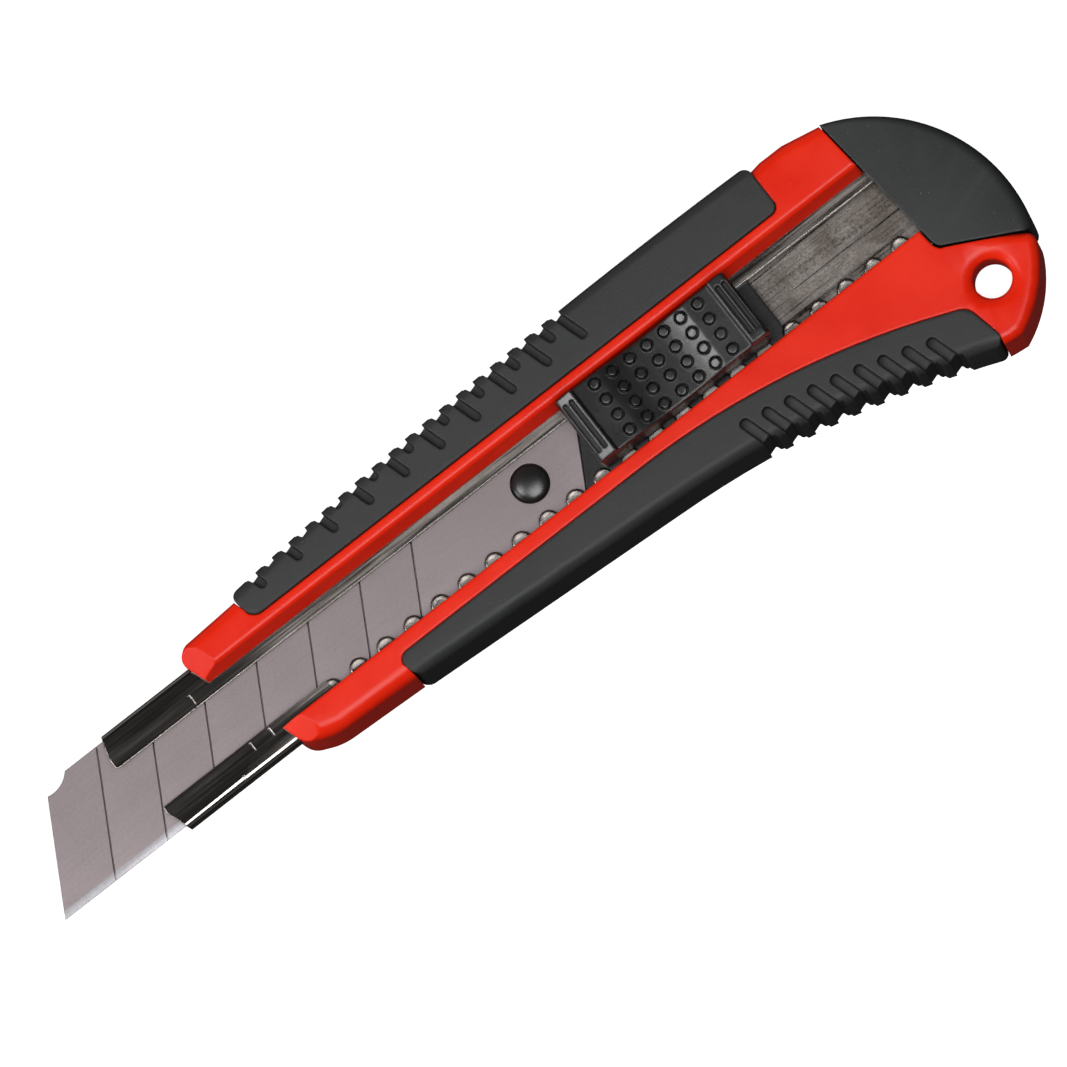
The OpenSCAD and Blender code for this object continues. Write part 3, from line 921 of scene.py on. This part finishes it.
@dataclass
class Handle:
    """The hard red handle and its two soft grips."""

    curves: Curves = field(default_factory=Curves)
    track_y: float = 5.0
    half_slot: float = 6.8
    facet_at: Corner = (-49.03, 14.27, 14.7)
    facet_normal: Corner = (-0.492, -0.177, 0.853)
    hole: Point = (78.6, -14.2)
    hole_r: float = 3.0
    lower_prong: tuple[Corner, ...] = (
        (-25.95, -8.25, 0.0), (-41.0, -7.6, 10.0), (-45.3, -5.7, 3.0), (-46.4, -1.9, 0.0))
    upper_prong: tuple[Corner, ...] = (
        (-51.0, 10.4, 0.0), (-52.9, 15.8, 2.0), (-50.8, 17.3, 2.0), (-40.9, 17.9, 0.0))
    shoulder: tuple[Point, ...] = ((60.0, 21.3), (61.8, 21.6), (66.0, 21.6), (72.2, 20.4))
    ear_top: Corner = (88.0, -12.4, 1.6)
    ear_centre: Point = (69.0, -4.8)
    ear_r: float = 20.5
    grip_round: float = 1.85  # 1.6 and 1.9 leave the lower grip empty or broken once it is cut
    seam_round: float = 0.35

    def build_hard(self, finish: bpy.types.Material) -> None:
        """Model the red moulding."""
        low, high = box_mm("handle_body")
        upper, lower = self.curves.upper_seam()[1:-1], self.curves.lower_seam()[1:-1]
        low_prong, high_prong = filleted(self.lower_prong), filleted(self.upper_prong)
        ear = arc(self.ear_centre, self.ear_r, -29.0, -67.0, 14)
        top = filleted([self.shoulder[-1] + (0.0,), (74.75, -5.6, 2.1), self.ear_top,
                        ear[0] + (0.0,)])[:-1]
        at_cap = 7  # the shoulder's last point and the six of the arc after it
        cap_line, ear = top[:at_cap], top[at_cap:] + ear + [(75.4, -23.5), (73.95, -23.3)]
        outline = [*low_prong, *high_prong, *upper, *self.shoulder[:-1], *cap_line, *ear]
        body = trace("red_handle", outline + lower[::-1], low.z, high.z)
        chains = ((low_prong, 2.3), (high_prong, 1.8), (self.shoulder, 1.8), (ear, 1.5))
        for chain, width in chains:
            round_edges(body, lambda a, b, c=chain: level(a, b) and over_line(c, a, b), width, 5)
        at_front = lambda a, b: min(a.z, b.z) > high.z - CLOSE
        round_edges(body, lambda a, b: at_front(a, b) and (
            over_line(upper, a, b) or over_line(lower, a, b) or over_line(cap_line, a, b)),
            self.seam_round, 3)
        saw(body, self.facet_at, self.facet_normal, off=True)
        combine(body, self.slot_tool(high.z))
        combine(body, self.hole_tool(low.z, high.z))
        combine(body, block("socket", (65.8, -1.2, 2.2), (80.0, 11.2, 6.2)))
        combine(body, self.back_panel(low.z))
        mend(body)
        hand_over(body, finish, "handle_body", "handle", smooth=28)

    def slot_tool(self, face: float) -> bpy.types.Object:
        """Return the tool that cuts the channel's groove and the thumb slot above it."""
        low, high = box_mm("blade_channel")
        gap = 0.05
        y0, y1 = low.y - gap, high.y + gap
        z0, z1 = low.z - gap, high.z + gap
        left, right = self.track_y - self.half_slot, self.track_y + self.half_slot
        soft, crisp = 1.0, 0.4
        section = [(y0, z0), (y1, z0), (y1, z1), (right - 0.95, z1)]
        section += arc((right + soft, face - soft), soft, 180, 90, 6)
        section += [(right + soft, face + 1), (left - crisp, face + 1)]
        section += arc((left - crisp, face - crisp), crisp, 90, 0, 4)
        section += [(left + 0.3, z1), (y0, z1)]
        return trace("slot", section, -60.0, 80.0, Plane.SECTION)

    def hole_tool(self, low: float, high: float) -> bpy.types.Object:
        """Return the tool for the hanging hole: dished in front, opening out to the back."""
        r = self.hole_r
        profile = [(r + 1.86, low - 1.3), (r, low + 7.9), (r, high - 1.1), (r + 0.3, high - 0.6),
                   (r + 0.8, high - 0.25), (r + 1.7, high), (r + 1.7, high + 1)]
        return turned("hole", self.hole, profile, 64)

    def back_panel(self, low: float) -> bpy.types.Object:
        """Return the tool for the shallow plain panel on the back."""
        corners = filleted([(-34.0, -0.6, 3.0), (36.0, -1.6, 3.0), (46.0, -2.0, 2.0),
                            (46.0, 9.4, 3.0), (-38.0, 9.8, 3.0)])
        return trace("panel", corners, low - 1.0, low + 0.5)

    def build_grip(
        self, name: str, seam: list[Point], edge: list[Point], finish: bpy.types.Material
    ) -> bpy.types.Object:
        """Model a grip without its grooves.

        Args:
            name: The frame node that it stands for.
            seam: The seam with the hard handle.
            edge: The outer edge, running back towards the seam's first point.
            finish: The grip's material.

        Returns:
            The grip, still in millimetres.
        """
        low, high = box_mm(name)
        grip = trace(name + "_skin", seam + edge[1:-1], low.z, high.z)
        outer = [seam[-1], *edge[1:-1], seam[0]]
        corners = [Vector(seam[0]), Vector(seam[-1])]
        upright = lambda a, b: any((a.xy - c).length < CLOSE > (b.xy - c).length for c in corners)
        round_edges(
            grip, lambda a, b: over_line(outer, a, b) if level(a, b) else upright(a, b),
            self.grip_round, 6)
        at_front = lambda a, b: level(a, b) and a.z > high.z - CLOSE
        round_edges(
            grip, lambda a, b: at_front(a, b) and over_line(seam, a, b), self.seam_round, 3)
        channel_low, channel_high = box_mm("blade_channel")
        combine(grip, block("room", (-60.0, channel_low.y - 0.05, channel_low.z - 0.05),
                            (80.0, channel_high.y + 0.05, channel_high.z + 0.05)))
        grip.data.materials.append(finish)
        return grip

    def build_upper_grip(self, finish: bpy.types.Material) -> None:
        """Model the soft grip along the spine, with long and short grooves in turn."""
        curves = self.curves
        edge = [(x, curves.spine(x)) for x in spread(60.0, -40.9, 24)]
        grip = self.build_grip("upper_grip", curves.upper_seam(), edge, finish)
        row = Grooves(first=-36.4, pitch=3.33, count=19, inward=-1)
        reach = lambda i: 1.045 * (
            curves.spine(row.first + i * row.pitch) - (16.5 if i % 2 == 0 else 19.0))
        row.cut(grip, curves.spine, reach)
        hand_over(grip, finish, "upper_grip", "handle", smooth=28)

    def build_lower_grip(self, finish: bpy.types.Material) -> None:
        """Model the soft grip along the belly, with its finger grooves."""
        curves = self.curves
        edge = [(x, curves.belly(x)) for x in spread(73.9, -25.9, 26)]
        grip = self.build_grip("lower_grip", curves.lower_seam(), edge, finish)
        row = Grooves(first=37.4, pitch=3.68, count=9, inward=1, width=1.8, depth=1.3)
        row.cut(grip, curves.belly, lambda i: 5.4)
        hand_over(grip, finish, "lower_grip", "handle", smooth=28)


@dataclass
class BladeChannel:
    """The folded steel strip that holds the blade, with its detent lobes."""

    sheet: float = 0.6
    bend: float = 1.0
    lower_lip: float = 0.25
    upper_lip: float = 9.1
    first_lobe: float = -37.04
    lobe_pitch: float = 5.14
    lobes: int = 22
    lobe_r: float = 1.6

    def build(self, finish: bpy.types.Material) -> None:
        """Model the channel."""
        low, high = box_mm("blade_channel")
        strip = trace("steel_channel", self.section(low, high), low.x, high.x, Plane.SECTION)
        lip = high.z - self.sheet
        lobe_y = self.lower_lip - self.lobe_r
        combine(strip, block("gap", (self.first_lobe, lobe_y, lip - 0.2),
                             (high.x + 1, self.lower_lip + 0.4, high.z + 1)))
        self.trim_front(strip, low, high)
        combine(strip, self.lobe_row(lip, high.z, lobe_y), "UNION")
        self.stamp(strip, high.z)
        hand_over(strip, finish, "blade_channel", "handle")

    def section(self, low: Vector, high: Vector) -> list[Point]:
        """Return the channel's section in Y and Z, a C with bent corners."""
        outer, inner, t = self.bend, self.bend - self.sheet, self.sheet
        out = (arc((low.y + outer, high.z - outer), outer, 90, 180, 5)
               + arc((low.y + outer, low.z + outer), outer, 180, 270, 5)
               + arc((high.y - outer, low.z + outer), outer, 270, 360, 5)
               + arc((high.y - outer, high.z - outer), outer, 0, 90, 5))
        back = (arc((high.y - outer, high.z - outer), inner, 90, 0, 4)
                + arc((high.y - outer, low.z + outer), inner, 360, 270, 4)
                + arc((low.y + outer, low.z + outer), inner, 270, 180, 4)
                + arc((low.y + outer, high.z - outer), inner, 180, 90, 4))
        upper = [(self.upper_lip, high.z), (self.upper_lip, high.z - t)]
        return [(self.lower_lip, high.z), *out, *upper, *back, (self.lower_lip, high.z - t)]

    def trim_front(self, strip: bpy.types.Object, low: Vector, high: Vector) -> None:
        """Shape the front ends of the two lips, and of the floor between them."""
        waste = block("waste", (low.x - 5, low.y - 5, low.z - 5), (-40.0, high.y + 5, high.z + 5))
        kept = filleted([
            (-68.6, 16.0, 0.0), (-70.05, 11.0, 0.6), (-70.05, 9.3, 0.0), (-69.3, 9.05, 0.0),
            (-68.0, 0.3, 0.9), (-68.1, -0.8, 0.6), (-66.2, -6.0, 0.0), (-30.0, -6.0, 0.0),
            (-30.0, 16.0, 0.0)])
        combine(waste, trace("kept", kept, low.z - 6, high.z + 6))
        combine(strip, waste)

    def lobe_row(self, low: float, high: float, y: float) -> bpy.types.Object:
        """Return the row of half-round lobes, each a disc with a dished middle."""
        lobes = []
        for i in range(self.lobes):
            clear_bench()
            centre = (self.first_lobe + i * self.lobe_pitch, y, (low + high) / 2)
            bpy.ops.mesh.primitive_cylinder_add(
                vertices=36, radius=self.lobe_r, depth=high - low, location=centre)
            lobe = bpy.context.object
            bpy.ops.object.transform_apply(location=True, rotation=True, scale=True)
            pick(lobe, face=lambda p, n: n.z > 0.9)
            bpy.ops.mesh.bevel(offset=0.3, segments=4, affect="EDGES")
            pick(lobe, face=lambda p, n: n.z > 0.99)
            bpy.ops.mesh.inset(thickness=0.15)
            bpy.ops.mesh.inset(thickness=0.3, depth=-0.05)
            bpy.ops.object.mode_set(mode="OBJECT")
            lobes.append(lobe)
        return join(lobes, "lobes")

    def stamp(self, strip: bpy.types.Object, top: float) -> None:
        """Cut the small stamped marks near the front of the two lips."""
        marks = ((-54.8, 9.6, 1.6), (-51.9, -1.5, 1.3), (-48.3, -1.5, 1.3), (-55.6, -4.3, 0.8))
        for x, y, reach in marks:
            combine(strip, block("mark", (x - 0.13, y, top - 0.16), (x + 0.13, y + reach, top + 1)))


@dataclass
class Blade:
    """The snap-off blade: ground along its edge, scored, and drilled for the carrier."""

    slant: float = 61.0
    edge_l: float = 99.5
    bevel: float = 1.3
    first_score: float = 9.6
    score_pitch: float = 9.8
    scores: int = 7
    hole_x: float = 5.2
    hole_r: float = 3.05

    def build(self, finish: bpy.types.Material) -> None:
        """Model the blade."""
        low, high = box_mm("snap_off_blade")
        lean = (high.y - low.y) / math.tan(math.radians(self.slant))
        tail = low.x + self.edge_l
        outline = [(low.x, low.y), (tail, low.y), (tail + lean, high.y), (low.x + lean, high.y)]
        blade = trace("blade", outline, low.z, high.z)
        self.score(blade, low, high)
        self.grind(blade, low, high)
        notch = turned("notch", (-79.8, high.y + 2.7), [(4.3, low.z - 1), (4.3, high.z + 1)], 64)
        combine(blade, notch)
        hole = turned("hole", (self.hole_x, (low.y + high.y) / 2),
                      [(self.hole_r, low.z - 1), (self.hole_r, high.z + 1)], 64)
        combine(blade, hole)
        hand_over(blade, finish, "snap_off_blade", "blade_unit", smooth=10)

    def score(self, blade: bpy.types.Object, low: Vector, high: Vector) -> None:
        """Press the score lines into the front of the blade."""
        half, depth = 0.13, 0.14
        angle = math.radians(self.slant)
        normal = Vector((math.sin(angle), -math.cos(angle), 0))
        for i in range(self.scores):
            at = Vector((low.x + self.first_score + i * self.score_pitch, low.y, 0))
            for side in (-half, 0.0, half):
                saw(blade, at + normal * side, normal)
            pick(blade, vertex=lambda p, a=at: p.z > high.z - CLOSE
                 and abs((p - a).dot(normal)) < half / 4)
            bpy.ops.transform.translate(value=(0, 0, -depth))
            bpy.ops.object.mode_set(mode="OBJECT")

    def grind(self, blade: bpy.types.Object, low: Vector, high: Vector) -> None:
        """Grind the cutting edge on both sides."""
        land = 0.06
        saw(blade, (0, low.y + self.bevel, 0), (0, 1, 0))
        pick(blade, vertex=lambda p: p.y < low.y + CLOSE)
        middle = (low.z + high.z) / 2
        squeeze = land / (high.z - low.z)
        bpy.ops.transform.resize(value=(1, 1, squeeze), center_override=(0, low.y, middle))
        bpy.ops.object.mode_set(mode="OBJECT")


@dataclass
class Slider:
    """The black carrier under the blade and the thumb slider on top of it."""

    neck: tuple[float, float] = (20.0, 43.0)  # where the neck starts and ends along X
    pad_top: float = 10.6
    neck_top: float = 12.7
    relief_top: float = 12.6
    relief_length: float = 16.0
    boss_x: float = 5.2
    track_y: float = 5.0
    dot_r: float = 0.95

    def build_carrier(self, finish: bpy.types.Material) -> None:
        """Model the carrier: plate, slanted shoulder, T-shaped neck and domed boss."""
        low, high = box_mm("blade_carrier")
        blade_low, blade_high = box_mm("snap_off_blade")
        tail = blade_low.x + Blade.edge_l + 0.25
        lean = (blade_high.y - blade_low.y) / math.tan(math.radians(Blade.slant))
        plate_top = blade_low.z - 0.05
        carrier = trace("carrier", filleted([
            (low.x, low.y, 1.0), (high.x, low.y, 1.0), (high.x, high.y, 1.0),
            (low.x + lean, high.y, 1.0)]), low.z, plate_top)
        pad = trace("pad", filleted([
            (tail, blade_low.y + 0.15, 0.4), (high.x, blade_low.y + 0.15, 0.8),
            (high.x, blade_high.y - 0.15, 0.8), (tail + lean, blade_high.y - 0.15, 0.4)]),
            plate_top - 0.1, self.pad_top)
        combine(carrier, pad, "UNION")
        x0, x1 = self.neck
        neck = block("neck", (x0, 2.8, self.pad_top - 0.2), (x1, 7.6, self.neck_top + 0.1))
        combine(carrier, neck, "UNION")
        combine(carrier, block("head", (x0, 2.1, self.neck_top), (x1, 8.3, high.z)), "UNION")
        far = x0 + self.relief_length
        room = [(x0 - 1.0, 2.0), (x0 - 1.0, 3.7), (far, 2.9), (far, 2.0)]
        combine(carrier, trace("leaf_room", room, self.pad_top, self.relief_top))
        combine(carrier, block("tab_slot", (42.25, 0.0, self.pad_top), (42.95, 4.4, high.z + 1)))
        dome = [(2.85, plate_top - 0.2), (2.85, blade_high.z + 0.02)]
        dome += [(2.85 * math.cos(a), blade_high.z + 0.05 + 0.75 * math.sin(a))
                 for a in (math.radians(d) for d in (12, 28, 44, 60, 74, 84))]
        combine(carrier, turned("boss", (self.boss_x, self.track_y), dome, 64), "UNION")
        hand_over(carrier, finish, "blade_carrier", "blade_unit")

    def build_knob(self, finish: bpy.types.Material) -> None:
        """Model the thumb slider: dished, dotted, with two raised ribbed blocks."""
        low, high = box_mm("thumb_slider")
        top, base = high.z, low.z
        x0, x1 = low.x, high.x
        dish = [(x, 17.5 + 1.12 * ((x - 31.4) / 8.1) ** 2) for x in spread(23.3, 39.5, 12)]
        back = [(x0 + 3.35, 18.9)] + dish + [(x1 - 3.35, 18.8)]
        front = filleted([
            (x0 + 1.2, base, 0.0), (x0 + 0.6, base, 0.0), (x0, top - 1.5, 0.3),
            (x0 + 0.4, top - 0.7, 0.3), (x0 + 3.05, top, 0.25), (x0 + 3.35, 18.9, 0.0)], 4)[1:-1]
        rear = filleted([
            (x1 - 3.35, 18.8, 0.0), (x1 - 3.05, top, 0.25), (x1 - 0.4, top, 0.4),
            (x1, top - 1.1, 0.3), (x1 - 0.6, base, 0.0), (x1 - 1.2, base, 0.0)], 4)[1:-1]
        side = front + back + rear
        knob = trace("thumb_piece", side, low.y, high.y, Plane.SIDE)
        on_side = lambda a, b: abs(a.y - b.y) < CLOSE and min(a.z, b.z) > base + 0.5
        round_edges(knob, on_side, 0.22, 3)
        x_in, x_out = self.neck[0] - 1.0, self.neck[1] + 1.0
        combine(knob, block("cavity", (x_in, 2.65, base - 1), (x_out, 7.75, base + 0.9)))
        combine(knob, block("head_room", (x_in, 1.95, base + 0.5), (x_out, 8.45, base + 2.0)))
        combine(knob, block("spring_bay", (18.0, low.y - 1, base - 1), (45.0, 2.7, base + 0.5)))
        for x in (x0 + 0.6, x0 + 1.75, x1 - 2.5, x1 - 1.35):
            rib = filleted([(x, low.y + 1.3, 0.3), (x + 0.75, low.y + 1.3, 0.3),
                            (x + 0.75, high.y - 1.3, 0.3), (x, high.y - 1.3, 0.3)])
            combine(knob, trace("rib_slot", rib, top - 1.5, top + 1))
        combine(knob, self.dots(low, back), "UNION")
        hand_over(knob, finish, "thumb_slider", "thumb", smooth=28)

    def dots(self, low: Vector, back: Sequence[Point]) -> bpy.types.Object:
        """Return the slider's grip dots: round buttons that follow its dished back."""
        made = []
        for i in range(7):
            x = 21.9 + 3.26 * i
            before, after = next((a, b) for a, b in zip(back, back[1:]) if a[0] <= x <= b[0])
            share = (x - before[0]) / (after[0] - before[0])
            z = before[1] + (after[1] - before[1]) * share
            tilt = -math.atan2(after[1] - before[1], after[0] - before[0])
            for j in range(4):
                clear_bench()
                y = low.y + 1.45 + 2.9 * j
                bpy.ops.mesh.primitive_cylinder_add(
                    vertices=28, radius=self.dot_r, depth=0.7, location=(x, y, z - 0.02),
                    rotation=(0, tilt, 0))
                dot = bpy.context.object
                pick(dot, face=lambda p, n: n.z > 0.9)
                bpy.ops.mesh.bevel(offset=0.16, segments=3, affect="EDGES")
                bpy.ops.mesh.inset(thickness=0.3)
                bpy.ops.mesh.inset(thickness=0.15, depth=-0.05)
                bpy.ops.object.mode_set(mode="OBJECT")
                bpy.ops.object.transform_apply(location=True, rotation=True, scale=True)
                made.append(dot)
        return join(made, "dots")


@dataclass
class EndCap:
    """The dark end cap with its snapping slit."""

    centre: Point = (63.8, -4.0)
    radius: float = 25.8
    front_x: float = 72.2
    gap: float = 0.25
    clearance: float = 0.15

    def build(self, finish: bpy.types.Material) -> None:
        """Model the cap."""
        low, high = box_mm("end_cap")
        rim = arc(self.centre, self.radius, 70.0, -15.0, 36)
        front = filleted([
            rim[-1] + (0.0,), (88.2, -12.3, 1.1), (75.0, -5.3, 1.9),
            (self.front_x + self.gap, 20.3, 0.0)])[1:-1]
        cap = trace("cap", [(self.front_x + self.gap, 20.35)] + rim + front, low.z, high.z)
        combine(cap, self.rim_tool(low.z, high.z), "INTERSECT")
        low_c, high_c = box_mm("blade_channel")
        room = self.clearance
        combine(cap, block("pocket", (70.0, low_c.y - room, low_c.z - room),
                           (high_c.x + 0.6, high_c.y + room, high_c.z + room)))
        combine(cap, block("tongue", (66.0, -1.0, 2.4), (78.0, 11.0, 6.0)), "UNION")
        combine(cap, block("slit", (84.5, -4.0, 4.6), (95.0, 12.0, 5.6)))
        hand_over(cap, finish, "end_cap", "cap")

    def rim_tool(self, low: float, high: float) -> bpy.types.Object:
        """Return the double cone that bevels the cap's rim, wider towards the ear."""
        offset = (self.centre[0] - 1.03, self.centre[1] + 0.61)
        inner, outer, slope = self.radius - 0.82, self.radius + 2.0, 0.8
        drop = (outer - inner) * slope
        profile = [(inner - 1, low - slope), (inner, low), (outer, low + drop),
                   (outer, high - drop), (inner, high), (inner - 1, high + slope)]
        return turned("rim", offset, profile, 180)


# ---------------------------------------------------------------- light, floor and camera


@dataclass
class Studio:
    """A pale floor, soft lights and a long-lens camera over the knife."""

    lean: float = 10.5
    turn: float = 37.9
    distance: float = 2.5
    across: float = 0.1602
    target: Corner = (0.0010, -0.0008, 0.0075)

    def build(self) -> None:
        """Set up the studio."""
        spared = self.spare(self.lay_floor())
        self.sky()
        self.softbox("front", (0.0, -0.34, 1.36), 0.7, 15.0)
        for light in (self.softbox("key", (-0.54, 0.19, 1.05), 0.35, 5.0),
                      self.softbox("rim", (-1.05, 0.12, 0.56), 0.45, 4.0)):
            light.light_linking.receiver_collection = spared
        self.place_camera()
        bpy.context.scene.view_settings.view_transform = "Standard"

    def spare(self, floor: bpy.types.Object) -> bpy.types.Collection:
        """Return the collection that keeps the side lights, and so their shadows, off the floor."""
        spared = bpy.data.collections.new("side lights")
        spared.objects.link(floor)
        spared.collection_objects[0].light_linking.link_state = "EXCLUDE"
        return spared

    def lay_floor(self) -> bpy.types.Object:
        """Lay a plain pale floor on the rest plane and return it."""
        clear_bench()
        bpy.ops.mesh.primitive_plane_add(size=12, location=(0, 0, 0))
        floor = bpy.context.object
        floor.name = "floor"
        material, tree, shader, where = start_material("pale_paper")
        tone = tree.blend(tree.noise(where, 40.0, 3.0), rgba([0.93] * 3), rgba([0.95] * 3))
        tree.feed(shader.inputs["Base Color"], tone)
        shader.inputs["Roughness"].default_value = 0.9
        shader.inputs["Emission Color"].default_value = (1.0, 1.0, 1.0, 1.0)
        shader.inputs["Emission Strength"].default_value = 0.75
        floor.data.materials.append(material)
        floor.visible_diffuse = False
        floor.visible_glossy = False
        return floor

    def sky(self) -> None:
        """Light the scene softly from low on the spine and blade side, dark overhead."""
        world = bpy.data.worlds.new("studio")
        world.use_nodes = True
        tree = Tree(world.node_tree)
        direction = tree.add("ShaderNodeTexCoord").outputs["Generated"]
        split = tree.add("ShaderNodeSeparateXYZ", Vector=direction)
        side = tree.maths("SUBTRACT", tree.maths("MULTIPLY", split.outputs["Y"], 0.7),
                          tree.maths("MULTIPLY", split.outputs["X"], 0.5))
        side = tree.ramp(side, -0.3, 0.8)
        low = tree.maths("MULTIPLY", tree.ramp(split.outputs["Z"], 0.75, 0.15),
                         tree.ramp(split.outputs["Z"], -0.12, 0.05))
        share = tree.maths("ADD", tree.maths("MULTIPLY", side, 0.45), 0.17)
        glow = tree.maths("MULTIPLY", low, share)
        tone = tree.add("ShaderNodeBackground", Color=(1.0, 1.0, 1.0, 1.0))
        tree.feed(tone.inputs["Strength"], tree.maths("ADD", glow, 0.03))
        tree.add("ShaderNodeOutputWorld", Surface=tone.outputs["Background"])
        bpy.context.scene.world = world

    def softbox(
        self, name: str, place: Corner, size: float, power: float
    ) -> bpy.types.Object:
        """Hang a square soft light that faces the knife.

        Args:
            name: The light's name.
            place: Where it hangs, in metres.
            size: Its side, in metres.
            power: Its power, in watts.

        Returns:
            The light.
        """
        clear_bench()
        bpy.ops.object.light_add(type="AREA", location=place)
        light = bpy.context.object
        light.name = name
        light.data.size = size
        light.data.energy = power
        light.rotation_euler = (-Vector(place)).to_track_quat("-Z", "Y").to_euler()
        light.visible_camera = False
        return light

    def place_camera(self) -> None:
        """Point a long lens at the knife from its thumb side, leaning to the edge side."""
        lean, turn = math.radians(self.lean), math.radians(self.turn)
        back = Vector((0, -math.sin(lean), math.cos(lean)))
        along, rise = Vector((1, 0, 0)), Vector((0, math.cos(lean), math.sin(lean)))
        right = along * math.cos(turn) - rise * math.sin(turn)
        up = along * math.sin(turn) + rise * math.cos(turn)
        clear_bench()
        bpy.ops.object.camera_add()
        camera = bpy.context.object
        camera.name = "camera"
        camera.matrix_world = Matrix.Translation(Vector(self.target) + back * self.distance) @ (
            Matrix((right, up, back)).transposed().to_4x4())
        camera.data.lens = camera.data.sensor_width * self.distance / self.across
        camera.data.clip_end = 100
        bpy.context.scene.camera = camera


def main() -> None:
    """Build every piece in order, then the studio."""
    logging.basicConfig(level=logging.INFO, format="%(name)s: %(message)s")
    shop = Workshop.open()
    red, rubber = RED_HANDLE.build(shop), SOFT_GRIP.build(shop)
    black, dark = BLACK_PLASTIC.build(shop), CAP_PLASTIC.build(shop)
    handle = Handle()
    handle.build_hard(red)
    handle.build_upper_grip(rubber)
    handle.build_lower_grip(rubber)
    BladeChannel().build(CHANNEL_STEEL.build(shop))
    Blade().build(BLADE_STEEL.build(shop))
    slider = Slider()
    slider.build_carrier(black)
    slider.build_knob(black)
    EndCap().build(dark)
    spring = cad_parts["detent_spring"]
    spring.data.materials.clear()
    spring.data.materials.append(SPRING_STEEL.build(shop))
    Studio().build()


if __name__ == "__main__":
    main()
